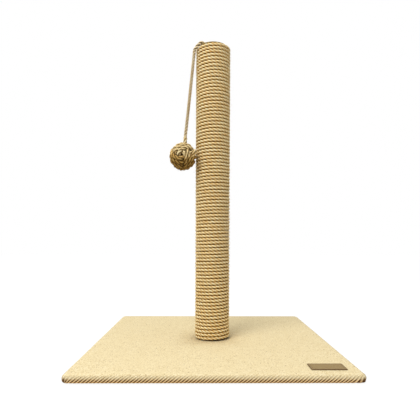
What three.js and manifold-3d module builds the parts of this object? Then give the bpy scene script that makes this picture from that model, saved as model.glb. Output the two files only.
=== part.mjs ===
// Cat scratching post: a rope-wound post on a covered square base, with a knotted ball on a rope.
// Millimetres, +Z up. The origin is under the middle of the base, on the floor. The front is -Y.
import * as THREE from "three";
import { mergeVertices } from "three/addons/utils/BufferGeometryUtils.js";
import Module from "manifold-3d";

const wasm = await Module();
wasm.setup();

// ---- Driving dimensions ----

const gap = 0.3; // left between pieces that touch

// Base
const baseWidth = 600; // left to right, over the cover
const baseDepth = 600; // front to back, over the cover
const boardThickness = 12;
const coverThickness = 2;
const coverCornerRadius = 14; // in plan
const coverEdgeRadius = 7;
const coverReturn = 42; // turned in under the board
const liningThickness = 0.6;
const liningInset = 18; // from the outside of the cover
const liningHoleRadius = 17;
const padThickness = 1.5;
const padRadius = 15;
const padInset = 55; // from the outside of the cover to the pad's middle

// Bolt that holds the post to the base
const boltRadius = 4;
const boltHeadRadius = 8.5;
const boltHeadHeight = 3;
const boltSocketRadius = 2.9; // to the corners of its hexagon
const boltSocketDepth = 1.9;
const boltReach = 18; // above the base cover
const washerRadius = 12;
const washerThickness = 1.5;
const headRecess = 0.6; // from the board's underside to the bolt's head
const insertRadius = 6;
const insertLength = 22;
const insertFlangeRadius = 8.2;
const insertFlangeThickness = 1.2;

// Post
const tubeRadius = 36; // outside
const tubeWall = 4;
const bottomPlugLength = 40;
const topPlugLength = 34;
const capOverhang = 2.5; // past the tube
const capThickness = 2;
const capEdgeRadius = 0.9;

// Screws through the tube into its plugs
const screwRadius = 1.8;
const screwLength = 18;
const screwHeadRadius = 3.4;
const screwHeadHeight = 2;
const bottomScrewHeight = 30; // above the base cover
const topScrewDepth = 24; // below the tube's top

// Winding: one rope, from the base to the cap
const windingRope = 8.45; // diameter
const windingPitch = 8.88;
const windingTurns = 86 + 6 / 11;
const windingSteps = 11; // faces in a turn
const windingSides = 4; // faces round the rope
const windingStartAngle = 180; // degrees from +X, seen from above

// Hanging rope, in an upright plane through the post's axis
const hangingRope = 8.8; // diameter
const hangingSides = 8;
const hangingAngle = 200; // degrees from +X: to the left and a little to the front
const ropeHoleRadius = 5.2; // in the cap
const ropeHoleOffset = 14; // from the post's axis
const ropeHoleDepth = 27; // in the top plug
const linkLength = 18; // between the rope's two swing axes
const ballDrop = 296.5; // from the winding's top to the ball's middle
// The fixed stretch after its hole: [out from the winding's outside, up from the winding's top].
const overRim = [
  [-30, 6.7],
  [-26.2, 7.2],
  [-19.5, 7.1],
  [-12.5, 7.1],
  [-7, 6.8],
  [-1.8, 4.8],
  [2.5, 0.6],
  [4.9, -4.6],
];
const linkTop = [6.8, -13]; // the outward swing's axis, in the same two measures

// Ball: a knot of three bands that pass over and under each other, three passes to a band
const ballRope = 8.6; // diameter
const strandPitch = 9.5; // between the passes of a band
const ballSides = 5;
const ballTopNormal = [0.035, -0.65, 0.759]; // where the top band's face looks
const ballLeftNormal = [-0.819, -0.453, -0.35]; // where the left band's face looks

// Tag, bare, flat on the base cover
const tagWidth = 74;
const tagDepth = 38;
const tagThickness = 1.8;
const tagCornerRadius = 2;
const tagRight = 30; // from the base's right edge to the tag
const tagFront = 28; // from the base's front edge to the tag

// ---- Sizes and places that follow ----

const liningLow = padThickness + gap;
const coverLow = liningLow + liningThickness + gap;
const boardLow = coverLow + coverThickness + gap;
const boardTop = boardLow + boardThickness;
const baseTop = boardTop + gap + coverThickness;

const tubeInside = tubeRadius - tubeWall;
const plugRadius = tubeInside - gap;
// The winding's flat faces clear the tube at their middles.
const halfStep = Math.PI / windingSteps;
const windingRadius = (tubeRadius + gap + windingRope / 2) / Math.cos(halfStep);
const postRadius = windingRadius + windingRope / 2;
const postLow = baseTop + gap;
const windingTop = postLow + windingRope + windingTurns * windingPitch;
const tubeTop = windingTop;
const capRadius = tubeRadius + capOverhang;
const capLow = tubeTop + gap;

// ---- Colours ----

const paint = (color, roughness, metalness = 0) =>
  new THREE.MeshStandardMaterial({ color, roughness, metalness });
const rope = paint(0xc49a5c, 0.95);
const ropeDark = paint(0xa9804a, 0.95);
const fabric = paint(0xe9d6ac, 0.95);
const fibreboard = paint(0xb08a5a, 0.85);
const cardboard = paint(0x9c7b55, 0.9);
const timber = paint(0xd2b27c, 0.7);
const steel = paint(0x9a9c9e, 0.35, 1);
const felt = paint(0x3a3634, 0.95);
const leather = paint(0x9c7a4e, 0.6);

// ---- Helpers ----

const degrees = Math.PI / 180;
const model = new THREE.Group();

// A named piece of the given geometry, put into a group.
function piece(name, geometry, material, group = model) {
  const mesh = new THREE.Mesh(geometry, material);
  mesh.name = name;
  group.add(mesh);
  return mesh;
}

// A closed geometry as a solid that can be cut and joined.
function solid(geometry) {
  const bare = geometry.index ? geometry.toNonIndexed() : geometry.clone();
  bare.deleteAttribute("normal");
  bare.deleteAttribute("uv");
  const merged = mergeVertices(bare, 1e-3);
  const vertProperties = merged.attributes.position.array;
  const triVerts = new Uint32Array(merged.index.array);
  return new wasm.Manifold(
    new wasm.Mesh({ numProp: 3, vertProperties, triVerts }),
  );
}

// The solid as a geometry again.
function geometryOf(body) {
  const { vertProperties, triVerts } = body.getMesh();
  const geometry = new THREE.BufferGeometry();
  geometry.setAttribute(
    "position",
    new THREE.BufferAttribute(vertProperties, 3),
  );
  geometry.setIndex(new THREE.BufferAttribute(triVerts, 1));
  return geometry;
}

const cut = (body, ...tools) =>
  geometryOf(tools.reduce((left, tool) => left.subtract(solid(tool)), solid(body)));
const join = (...bodies) =>
  geometryOf(bodies.map(solid).reduce((left, body) => left.add(body)));

// The outline of a rectangle with round corners, about the origin.
function roundedRectangle(width, depth, corner) {
  const x = width / 2 - corner;
  const y = depth / 2 - corner;
  const shape = new THREE.Shape();
  shape.absarc(x, y, corner, 0, Math.PI / 2);
  shape.absarc(-x, y, corner, Math.PI / 2, Math.PI);
  shape.absarc(-x, -y, corner, Math.PI, 1.5 * Math.PI);
  shape.absarc(x, -y, corner, 1.5 * Math.PI, 2 * Math.PI);
  return shape;
}

// A flat slab from z = low to z = high, with round corners and rounded edges.
function slab(width, depth, corner, low, high, edge = 0, edgeSteps = 3) {
  const options = {
    depth: high - low - 2 * edge,
    curveSegments: 3,
    bevelEnabled: edge > 0,
    bevelThickness: edge,
    bevelSize: edge,
    bevelOffset: -edge,
    bevelSegments: edgeSteps,
  };
  const outline = roundedRectangle(width, depth, corner);
  return new THREE.ExtrudeGeometry(outline, options).translate(0, 0, low + edge);
}

// A piece turned about the Z axis from [radius, height] points.
function turned(profile, segments = 32) {
  const points = profile.map(([radius, height]) => new THREE.Vector2(radius, height));
  return new THREE.LatheGeometry(points, segments).rotateX(Math.PI / 2);
}

const disc = (radius, low, high, segments = 32) =>
  turned([[0, low], [radius, low], [radius, high], [0, high]], segments);

// One closed tube through rings of points, with a flat end at each end.
function tubeThrough(rings) {
  const sides = rings[0].length;
  const last = (rings.length - 1) * sides;
  const index = [];
  for (let ring = 0; ring + 1 < rings.length; ring++) {
    for (let side = 0; side < sides; side++) {
      const a = ring * sides + side;
      const b = ring * sides + ((side + 1) % sides);
      index.push(a, b, a + sides, b, b + sides, a + sides);
    }
  }
  for (let side = 1; side + 1 < sides; side++) {
    index.push(0, side + 1, side, last, last + side, last + side + 1);
  }
  const geometry = new THREE.BufferGeometry().setFromPoints(rings.flat());
  geometry.setIndex(index);
  return geometry;
}

// A tube of round section along points, its rings turned as little as the path allows.
function roundTube(points, diameter, sides) {
  const count = points.length;
  const tangents = points.map((_, at) =>
    points[Math.min(at + 1, count - 1)]
      .clone()
      .sub(points[Math.max(at - 1, 0)])
      .normalize(),
  );
  let across = new THREE.Vector3(1, 0, 0);
  if (Math.abs(tangents[0].x) > 0.8) across = new THREE.Vector3(0, 1, 0);
  const rings = points.map((point, at) => {
    across.addScaledVector(tangents[at], -across.dot(tangents[at])).normalize();
    const upward = tangents[at].clone().cross(across);
    return Array.from({ length: sides }, (_, side) => {
      const turn = (2 * Math.PI * side) / sides;
      return point
        .clone()
        .addScaledVector(across, (diameter / 2) * Math.cos(turn))
        .addScaledVector(upward, (diameter / 2) * Math.sin(turn));
    });
  });
  return tubeThrough(rings);
}

// The least gap between stretches of one tube that are farther apart along it than "apart".
function leastGap(points, diameter, apart) {
  const samples = [];
  const along = [];
  let length = 0;
  for (let at = 0; at + 1 < points.length; at++) {
    const step = points[at].distanceTo(points[at + 1]);
    const parts = Math.max(1, Math.ceil((4 * step) / diameter));
    for (let part = 0; part < parts; part++) {
      samples.push(points[at].clone().lerp(points[at + 1], part / parts));
      along.push(length + (step * part) / parts);
    }
    length += step;
  }
  let least = Infinity;
  for (let a = 0; a < samples.length; a++) {
    for (let b = a + 1; b < samples.length; b++) {
      if (along[b] - along[a] < apart) continue;
      least = Math.min(least, samples[a].distanceTo(samples[b]));
    }
  }
  return least - diameter;
}

// A free stretch of rope with a round section, along a smooth curve.
function ropeAlong(points, steps) {
  const section = new THREE.Shape();
  for (let side = 0; side < hangingSides; side++) {
    const turn = (2 * Math.PI * side) / hangingSides;
    const x = (hangingRope / 2) * Math.cos(turn);
    const y = (hangingRope / 2) * Math.sin(turn);
    if (side === 0) section.moveTo(x, y);
    else section.lineTo(x, y);
  }
  const extrudePath = new THREE.CatmullRomCurve3(points);
  return new THREE.ExtrudeGeometry(section, { extrudePath, steps });
}

// ---- Base ----

const boardWidth = baseWidth - 2 * (coverThickness + gap);
const boardDepth = baseDepth - 2 * (coverThickness + gap);
const boardCorner = coverCornerRadius - coverThickness - gap;
const boardEdgeRadius = coverEdgeRadius - coverThickness - gap;
const boltHoleRadius = boltRadius + 0.6;
const counterboreRadius = washerRadius + 1;
const counterboreTop =
  boardLow + headRecess + boltHeadHeight + gap + washerThickness + gap;

function makeBase() {
  const board = slab(
    boardWidth,
    boardDepth,
    boardCorner,
    boardLow,
    boardTop,
    boardEdgeRadius,
    2,
  );
  const boltHole = disc(boltHoleRadius, coverLow - 1, baseTop + 1);
  const counterbore = disc(counterboreRadius, coverLow - 1, counterboreTop);
  piece("base_board", cut(board, boltHole, counterbore), fibreboard);

  const wrap = slab(
    baseWidth,
    baseDepth,
    coverCornerRadius,
    coverLow,
    baseTop,
    coverEdgeRadius,
    4,
  );
  const room = slab(
    boardWidth + 2 * gap,
    boardDepth + 2 * gap,
    boardCorner + gap,
    boardLow - gap,
    boardTop + gap,
    boardEdgeRadius + gap,
    2,
  );
  const mouth = slab(
    baseWidth - 2 * coverReturn,
    baseDepth - 2 * coverReturn,
    coverCornerRadius,
    coverLow - 1,
    boardLow + 1,
  );
  piece("base_cover", cut(wrap, room, mouth, boltHole), fabric);

  const liningOutline = roundedRectangle(
    baseWidth - 2 * liningInset,
    baseDepth - 2 * liningInset,
    coverCornerRadius,
  );
  liningOutline.holes.push(new THREE.Path().absarc(0, 0, liningHoleRadius, 0, 2 * Math.PI));
  const lining = new THREE.ExtrudeGeometry(liningOutline, {
    depth: liningThickness,
    curveSegments: 6,
    bevelEnabled: false,
  });
  piece("base_lining", lining, felt).position.z = liningLow;

  const padProfile = [
    [0, 0],
    [padRadius - 0.5, 0],
    [padRadius, 0.5],
    [padRadius, padThickness],
    [0, padThickness],
  ];
  for (const [side, x] of [["left", -1], ["right", 1]]) {
    for (const [end, y] of [["front", -1], ["back", 1]]) {
      const pad = piece(`foot_pad_${end}_${side}`, turned(padProfile, 24), felt);
      pad.position.set(x * (baseWidth / 2 - padInset), y * (baseDepth / 2 - padInset), 0);
    }
  }

  const tag = slab(tagWidth, tagDepth, tagCornerRadius, 0, tagThickness, 0.5, 1);
  piece("name_tag", tag, leather).position.set(
    baseWidth / 2 - tagRight - tagWidth / 2,
    -baseDepth / 2 + tagFront + tagDepth / 2,
    baseTop + gap,
  );
}

// ---- Bolt, washer and insert ----

const boltLow = boardLow + headRecess;
const washerLow = boltLow + boltHeadHeight + gap;

function makeBolt() {
  const blank = turned([
    [0, boltLow],
    [boltHeadRadius - 0.8, boltLow],
    [boltHeadRadius, boltLow + 0.8],
    [boltHeadRadius, boltLow + boltHeadHeight],
    [boltRadius, boltLow + boltHeadHeight],
    [boltRadius, baseTop + boltReach - 1],
    [boltRadius - 1, baseTop + boltReach],
    [0, baseTop + boltReach],
  ]);
  const socket = disc(boltSocketRadius, boltLow - 1, boltLow + boltSocketDepth, 6);
  piece("base_bolt", cut(blank, socket), steel);

  const washerInside = boltRadius + gap;
  const washer = turned([
    [washerInside, 0],
    [washerRadius, 0],
    [washerRadius, washerThickness],
    [washerInside, washerThickness],
    [washerInside, 0],
  ]);
  piece("bolt_washer", washer, steel).position.z = washerLow;

  const bore = boltRadius + gap;
  const insert = turned([
    [bore, 0],
    [insertFlangeRadius, 0],
    [insertFlangeRadius, insertFlangeThickness],
    [insertRadius, insertFlangeThickness],
    [insertRadius, insertLength],
    [bore, insertLength],
    [bore, 0],
  ]);
  piece("threaded_insert", insert, steel).position.z = postLow;
}

// ---- Post ----

// A countersunk screw that points to the post's axis, its head sunk in the tube at the front
// (side -1) or the back (side 1). With "room" it is the hole that the screw needs.
function crossScrew(side, height, room = 0) {
  const outside = tubeRadius - gap;
  const tip = outside - screwLength;
  const profile = [
    [0, tip - room],
    [0.35 * screwRadius + room, tip - room],
    [screwRadius + room, tip + 2 * screwRadius],
    [screwRadius + room, outside - screwHeadHeight],
    [screwHeadRadius + room, outside],
  ];
  if (room > 0) profile.push([screwHeadRadius + room, outside + tubeWall]);
  profile.push([0, profile.at(-1)[1]]);
  const screw = turned(profile, 12).rotateX(side * -90 * degrees);
  return screw.translate(0, 0, height);
}

function makePost() {
  const screwHeights = { bottom: baseTop + bottomScrewHeight, top: tubeTop - topScrewDepth };
  const screwHoles = [];
  for (const [end, height] of Object.entries(screwHeights)) {
    for (const [name, side] of [["front", -1], ["back", 1]]) {
      piece(`plug_screw_${end}_${name}`, crossScrew(side, height), steel);
      screwHoles.push(crossScrew(side, height, gap));
    }
  }

  const tube = turned(
    [
      [tubeInside, postLow],
      [tubeRadius, postLow],
      [tubeRadius, tubeTop],
      [tubeInside, tubeTop],
      [tubeInside, postLow],
    ],
    48,
  );
  piece("post_tube", cut(tube, ...screwHoles), cardboard);

  const bottomPlug = disc(plugRadius, postLow, postLow + bottomPlugLength, 48);
  const insertHole = turned([
    [0, postLow - 1],
    [insertFlangeRadius + gap, postLow - 1],
    [insertFlangeRadius + gap, postLow + insertFlangeThickness + gap],
    [insertRadius + gap, postLow + insertFlangeThickness + gap],
    [insertRadius + gap, postLow + insertLength + gap],
    [0, postLow + insertLength + gap],
  ]);
  piece("bottom_plug", cut(bottomPlug, insertHole, ...screwHoles), timber);

  const ropeHoleX = ropeHoleOffset * Math.cos(hangingAngle * degrees);
  const ropeHoleY = ropeHoleOffset * Math.sin(hangingAngle * degrees);
  const ropeHole = disc(hangingRope / 2 + gap, tubeTop - ropeHoleDepth, tubeTop + 1, 20);
  ropeHole.translate(ropeHoleX, ropeHoleY, 0);
  const topPlug = disc(plugRadius, tubeTop - topPlugLength, tubeTop, 48);
  piece("top_plug", cut(topPlug, ropeHole, ...screwHoles), timber);

  const capProfile = [
    [0, capLow],
    [capRadius, capLow],
    [capRadius, capLow + capThickness - capEdgeRadius],
    [capRadius - 0.3 * capEdgeRadius, capLow + capThickness - 0.3 * capEdgeRadius],
    [capRadius - capEdgeRadius, capLow + capThickness],
    [0, capLow + capThickness],
  ];
  const capHole = disc(ropeHoleRadius, capLow - 1, capLow + capThickness + 1, 20);
  capHole.translate(ropeHoleX, ropeHoleY, 0);
  piece("top_cap", cut(turned(capProfile, 48), capHole), fabric);
}

// The winding climbs one pitch a turn. Its section stands upright, a corner pointing outwards.
function makeWinding() {
  const rings = [];
  const middles = [];
  const steps = Math.round(windingTurns * windingSteps);
  for (let step = 0; step <= steps; step++) {
    const turn = windingStartAngle * degrees + 2 * halfStep * step;
    const height = postLow + windingRope / 2 + (windingPitch * step) / windingSteps;
    const at = (radius, z) =>
      new THREE.Vector3(radius * Math.cos(turn), radius * Math.sin(turn), z);
    middles.push(at(windingRadius, height));
    rings.push(
      Array.from({ length: windingSides }, (_, side) => {
        const round = (2 * Math.PI * side) / windingSides;
        const out = (windingRope / 2) * Math.cos(round);
        const up = (windingRope / 2) * Math.sin(round);
        return at(windingRadius + out, height - up);
      }),
    );
  }
  piece("post_rope", tubeThrough(rings), rope);
  const least = leastGap(middles, windingRope, Math.PI * windingRadius);
  console.log("post_rope: least gap between turns", least.toFixed(2), "mm");
}

// ---- Ball ----

// The ball's own axes: u through its top face, v through its left face, w = u x v.
// In each band the passes run long round two faces and short under the next band.
const cornerReach = Math.cos(Math.PI / 4) / Math.cos(Math.PI / 8);

// The three points where a pass turns a corner. Signs say which corner, lane says which pass.
function bandCorner(axes, [longSign, shortSign], lane, faceFirst) {
  const steps = [
    [3, 1],
    [2 + cornerReach, 1 + cornerReach],
    [2, 2],
  ];
  if (!faceFirst) steps.reverse();
  return steps.map(([long, short]) => {
    const point = new THREE.Vector3();
    point[axes[0]] = longSign * long;
    point[axes[1]] = shortSign * short;
    point[axes[2]] = lane;
    return point;
  });
}

// A band: its corners in turn, moving over by one lane before the corner numbered shiftAt.
function band({ axes, corners, count, faceFirst, lane, laneStep, shiftAt }) {
  const points = [];
  for (let at = 0; at < count; at++) {
    const corner = at % corners.length;
    if (corner === shiftAt) lane += laneStep;
    const face = faceFirst ? at % 2 === 0 : at % 2 === 1;
    points.push(...bandCorner(axes, corners[corner], lane, face));
  }
  return points;
}

// The whole knot in units of the strand pitch, about the ball's middle: the rope comes in at the
// top, makes the three bands and ends beside the post.
function knotPath() {
  const at = (u, v, w) => new THREE.Vector3(u, v, w);
  const comesIn = [
    at(3.83, -2.6, -2.88),
    at(3.33, -2.05, -2.1),
    at(3.16, -1.52, -1.52),
    at(3.08, -0.8, -1.09),
  ];
  const topBand = band({
    axes: ["x", "y", "z"],
    corners: [[1, 1], [-1, 1], [-1, -1], [1, -1]],
    count: 10,
    faceFirst: true,
    lane: -1,
    laneStep: 1,
    shiftAt: 3,
  });
  const roundTheBack = [
    at(-3, -1, 1),
    at(-2.95, -1.95, 1.12),
    at(-2.4, -2.75, 1.35),
    at(-1.6, -2.8, 1.75),
    at(-1, -2.1, 2),
  ];
  const leftBand = band({
    axes: ["y", "z", "x"],
    corners: [[1, 1], [1, -1], [-1, -1], [-1, 1]],
    count: 9,
    faceFirst: false,
    lane: -1,
    laneStep: 1,
    shiftAt: 2,
  });
  const overTheTop = [
    at(1, 3, -1),
    at(1.05, 2.75, -1.8),
    at(1.15, 2.2, -2.5),
    at(1, 1.6, -2.95),
    at(0.5, 1.12, -3.05),
  ];
  const rightBand = band({
    axes: ["z", "x", "y"],
    corners: [[-1, -1], [1, -1], [1, 1], [-1, 1]],
    count: 10,
    faceFirst: true,
    lane: 1,
    laneStep: -1,
    shiftAt: 3,
  });
  const end = [at(0.9, -1.05, 3.02), at(1.7, -1.5, 2.85), at(2.3, -2.1, 2.3)];
  const path = [comesIn, topBand, roundTheBack, leftBand, overTheTop, rightBand, end];
  return path.flat();
}

// The ball's turn, from where its faces look.
function ballBasis() {
  const u = new THREE.Vector3(...ballTopNormal).normalize();
  const w = u.clone().cross(new THREE.Vector3(...ballLeftNormal)).normalize();
  return new THREE.Matrix4().makeBasis(u, w.clone().cross(u), w);
}

// The knot about the ball's middle, turned as it hangs.
const knot = knotPath().map((point) =>
  point.multiplyScalar(strandPitch).applyMatrix4(ballBasis()),
);
const outward = new THREE.Vector3(
  Math.cos(hangingAngle * degrees),
  Math.sin(hangingAngle * degrees),
  0,
);
// The ball leans on the post: its farthest reach towards the post just clears the winding.
const ballReach = Math.max(...knot.map((point) => -point.dot(outward))) + ballRope / 2;
const ballMiddle = outward
  .clone()
  .multiplyScalar(postRadius + gap + ballReach)
  .setZ(windingTop - ballDrop);

function makeBall() {
  const ball = new THREE.Group();
  ball.position.copy(ballMiddle);
  model.add(ball);
  piece("toy_ball", roundTube(knot, ballRope, ballSides), ropeDark, ball);
  const coreRadius = 2 * strandPitch - ballRope / 2 - gap;
  const core = new THREE.SphereGeometry(coreRadius, 12, 8);
  piece("ball_core", core, timber, ball);
  const least = leastGap(knot, ballRope, 2.6 * ballRope);
  console.log("toy_ball: least gap between strands", least.toFixed(2), "mm");
}

// ---- Hanging rope ----

// A point in the rope's plane: out from the winding's outside, up from the winding's top.
const inPlane = ([out, up]) =>
  outward
    .clone()
    .multiplyScalar(postRadius + out)
    .setZ(windingTop + up);
const linkAxis = inPlane(linkTop); // the rope swings outwards about this point
const knotTop = knot[0].clone().add(ballMiddle); // the ball's rope begins here
const sideways = new THREE.Vector3(-outward.y, outward.x, 0);
const ropeLine = knotTop.clone().sub(linkAxis); // down the plane, towards the ball
ropeLine.addScaledVector(sideways, -ropeLine.dot(sideways)).normalize();
const sideAxis = linkAxis.clone().addScaledVector(ropeLine, linkLength);
const endRoom = hangingRope / 2 + gap; // from a round end's middle to the flat end above it

function makeHangingRope() {
  const holeOut = ropeHoleOffset - postRadius;
  const fixed = [
    inPlane([holeOut, 1 - ropeHoleDepth]),
    inPlane([holeOut, -10]),
    inPlane([holeOut, 2]),
    ...overRim.map(inPlane),
  ];
  const rimEnd = inPlane(overRim[overRim.length - 1]);
  const lastRun = linkAxis.clone().sub(rimEnd).normalize();
  fixed.push(linkAxis.clone().addScaledVector(lastRun, -endRoom));
  piece("hanging_rope_start", ropeAlong(fixed, 18), rope);

  const roundEnd = (middle) =>
    new THREE.SphereGeometry(hangingRope / 2, hangingSides, 6).translate(...middle.toArray());
  const linkEnd = sideAxis.clone().addScaledVector(ropeLine, -endRoom);
  const linkMiddle = linkAxis.clone().lerp(linkEnd, 0.5);
  const link = ropeAlong([linkAxis, linkMiddle, linkEnd], 2);
  piece("hanging_rope_link", join(link, roundEnd(linkAxis)), rope);

  // The ball's rope starts a little aside, so the last third eases over to it.
  const intoBall = knot[0].clone().sub(knot[1]).normalize();
  const meets = knotTop.clone().addScaledVector(intoBall, gap);
  const approach = meets.clone().addScaledVector(intoBall, hangingRope);
  const along = approach.clone().sub(sideAxis);
  const easing = [0, 0.2, 0.4, 0.6, 0.8, 0.93];
  const straight = ropeLine.clone().multiplyScalar(along.dot(ropeLine));
  const hanging = easing.map((share) =>
    sideAxis
      .clone()
      .addScaledVector(straight, share)
      .addScaledVector(along.clone().sub(straight), share ** 3),
  );
  const long = ropeAlong([...hanging, approach, meets], 12);
  piece("hanging_rope", join(long, roundEnd(sideAxis)), rope);

  const metres = (vector) => vector.toArray().map((value) => +(value / 1000).toFixed(6));
  const direction = (vector) => vector.toArray().map((value) => +value.toFixed(5));
  const outwardAxis = sideways.clone().negate();
  const sidewaysAxis = outwardAxis.clone().cross(ropeLine);
  console.log("outward swing: at", metres(linkAxis), "axis", direction(outwardAxis));
  console.log("sideways swing: at", metres(sideAxis), "axis", direction(sidewaysAxis));
}

makeBase();
makeBolt();
makePost();
makeWinding();
makeBall();
makeHangingRope();

export default model;
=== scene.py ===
# Rope-wound scratching post on a covered square base, with a knotted rope ball hanging from its
# top. Metres, Z up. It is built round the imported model, which is loaded first.
import math
import bpy
import numpy as np
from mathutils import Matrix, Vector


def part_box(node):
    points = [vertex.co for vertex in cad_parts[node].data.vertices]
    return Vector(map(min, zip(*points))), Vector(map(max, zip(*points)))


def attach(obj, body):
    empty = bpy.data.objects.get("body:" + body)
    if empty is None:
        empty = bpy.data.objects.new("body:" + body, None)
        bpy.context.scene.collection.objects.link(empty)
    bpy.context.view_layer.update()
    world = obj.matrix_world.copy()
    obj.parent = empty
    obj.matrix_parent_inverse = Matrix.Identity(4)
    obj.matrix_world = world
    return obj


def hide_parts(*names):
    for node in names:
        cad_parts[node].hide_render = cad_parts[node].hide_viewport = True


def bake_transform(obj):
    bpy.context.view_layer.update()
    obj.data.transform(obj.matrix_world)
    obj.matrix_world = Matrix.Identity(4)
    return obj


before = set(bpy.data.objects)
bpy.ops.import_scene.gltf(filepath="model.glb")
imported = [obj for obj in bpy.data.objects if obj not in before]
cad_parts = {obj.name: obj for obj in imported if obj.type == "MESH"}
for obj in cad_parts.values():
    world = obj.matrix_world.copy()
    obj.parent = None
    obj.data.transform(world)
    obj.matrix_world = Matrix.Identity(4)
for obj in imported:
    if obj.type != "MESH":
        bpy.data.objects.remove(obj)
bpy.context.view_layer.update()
print("frame loaded:", len(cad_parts), "nodes")

tau = 2 * math.pi


# Camera, at the photograph's place

view = {
    "place": (-0.0230, -1.0702, 0.2833),
    "turnRight": 0.88,  # degrees
    "rollLeft": 0.24,
    "focal": 33.986,  # on a sensor 36 wide
    "shiftUp": 0.0698,
}


def inScene(name, data):
    made = bpy.data.objects.new(name, data)
    bpy.context.scene.collection.objects.link(made)
    return made


def makeCamera():
    lens = bpy.data.cameras.new("camera")
    lens.lens = view["focal"]
    lens.sensor_width = 36
    lens.shift_y = view["shiftUp"]
    camera = inScene("camera", lens)
    camera.location = view["place"]
    turns = (90, -view["rollLeft"], -view["turnRight"])
    camera.rotation_euler = [math.radians(turn) for turn in turns]
    bpy.context.scene.camera = camera


makeCamera()
print("camera placed")


# Arrays of points, and the meshes made of them

def unit(vectors):
    return vectors / np.linalg.norm(vectors, axis=-1, keepdims=True)


def dot(a, b):
    return (a * b).sum(-1, keepdims=True)


def ease(x, low, high):
    # 0 below low, 1 above high and smooth between them
    t = np.clip((x - low) / (high - low), 0, 1)
    return t * t * (3 - 2 * t)


def wobble(x, lengths, seed):
    # an uneven wave: the mean of sines of the given wave lengths, with random phases
    phases = np.random.default_rng(seed).uniform(0, tau, len(lengths))
    return sum(np.sin(tau * x / w + p) for w, p in zip(lengths, phases)) / len(lengths)


def smoothPath(points, step):
    # the curve through the points that leaves each one parallel to the line between its
    # neighbours, then points along it at even steps
    p = np.vstack([2 * points[0] - points[1], points, 2 * points[-1] - points[-2]])
    knots = np.concatenate([[0], np.cumsum(np.linalg.norm(np.diff(p, axis=0), axis=1) ** 0.5)])
    t = np.linspace(knots[1], knots[-2], 40 * len(points))
    i = np.clip(np.searchsorted(knots, t, side="right") - 1, 1, len(p) - 3)
    k, q = [knots[i + n][:, None] for n in (-1, 0, 1, 2)], [p[i + n] for n in (-1, 0, 1, 2)]
    t = t[:, None]

    def between(a, b, low, high):
        return (a * (high - t) + b * (t - low)) / (high - low)

    a = [between(q[n], q[n + 1], k[n], k[n + 1]) for n in range(3)]
    b = [between(a[n], a[n + 1], k[n], k[n + 2]) for n in range(2)]
    return evenly(between(b[0], b[1], k[1], k[2]), step)


def lengthsAlong(line):
    # from the line's start to each of its points
    return np.concatenate([[0], np.cumsum(np.linalg.norm(np.diff(line, axis=0), axis=1))])


def evenly(line, step):
    # the same line with points at even steps
    along = lengthsAlong(line)
    at = np.linspace(0, along[-1], max(2, round(along[-1] / step) + 1))
    return np.stack([np.interp(at, along, line[:, axis]) for axis in range(3)], 1)


def gridTriangles(rows, columns):
    # two triangles for each cell of a grid whose last column joins its first
    first, across = np.arange(rows - 1)[:, None] * columns, np.arange(columns)
    a = (first + across).ravel()
    b = (first + (across + 1) % columns).ravel()
    lower, upper = np.stack([a, b, b + columns], 1), np.stack([a, b + columns, a + columns], 1)
    return np.concatenate([lower, upper])


def closedGrid(rows, columns):
    # the grid's triangles and a fan over each end; the fans' middles are two more points
    ring, last = np.arange(columns), (rows - 1) * columns
    following = (ring + 1) % columns
    low = np.stack([following, ring, np.full(columns, rows * columns)], 1)
    high = np.stack([last + ring, last + following, np.full(columns, rows * columns + 1)], 1)
    return np.concatenate([gridTriangles(rows, columns), low, high])


def wrapRows(rows, columns):
    # the triangles of a grid closed both ways, like a ring's skin
    a = np.arange(rows * columns)
    right = a - a % columns + (a + 1) % columns
    up, both = (a + columns) % (rows * columns), (right + columns) % (rows * columns)
    return np.concatenate([np.stack([a, right, both], 1), np.stack([a, both, up], 1)])


def onCircle(angle):
    return np.stack([np.cos(angle), np.sin(angle)], 1)


def levelWay(angle):
    return np.stack([np.cos(angle), np.sin(angle), 0 * angle], -1)


def meshPiece(name, points, triangles, finish, attributes=None, smooth=True):
    # a mesh object from whole arrays; an attribute is one number or three numbers a point
    mesh = bpy.data.meshes.new(name)
    mesh.vertices.add(len(points))
    mesh.vertices.foreach_set("co", points.astype(np.float32).ravel())
    mesh.loops.add(triangles.size)
    mesh.loops.foreach_set("vertex_index", triangles.astype(np.int32).ravel())
    mesh.polygons.add(len(triangles))
    mesh.polygons.foreach_set("loop_start", np.arange(0, triangles.size, 3, dtype=np.int32))
    mesh.polygons.foreach_set("use_smooth", np.full(len(triangles), smooth))
    mesh.update(calc_edges=True)
    for key, values in (attributes or {}).items():
        kind, field = ("FLOAT", "value") if values.ndim == 1 else ("FLOAT_VECTOR", "vector")
        made = mesh.attributes.new(key, kind, "POINT")
        made.data.foreach_set(field, values.astype(np.float32).ravel())
    mesh.materials.append(finish)
    return inScene(name, mesh)


# Finishes

class Wire:
    # one output of a node; arithmetic on it adds Math nodes
    def __init__(self, owner, socket):
        self.owner, self.socket = owner, socket

    def maths(self, operation, *others):
        inputs = dict(enumerate((self, *others)))
        return self.owner.node("ShaderNodeMath", {"operation": operation}, inputs)

    def __add__(self, other):
        return self.maths("ADD", other)

    def __sub__(self, other):
        return self.maths("SUBTRACT", other)

    def __rsub__(self, other):
        return self.owner.node("ShaderNodeMath", {"operation": "SUBTRACT"}, {0: other, 1: self})

    def __mul__(self, other):
        return self.maths("MULTIPLY", other)

    __radd__, __rmul__ = __add__, __mul__


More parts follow.
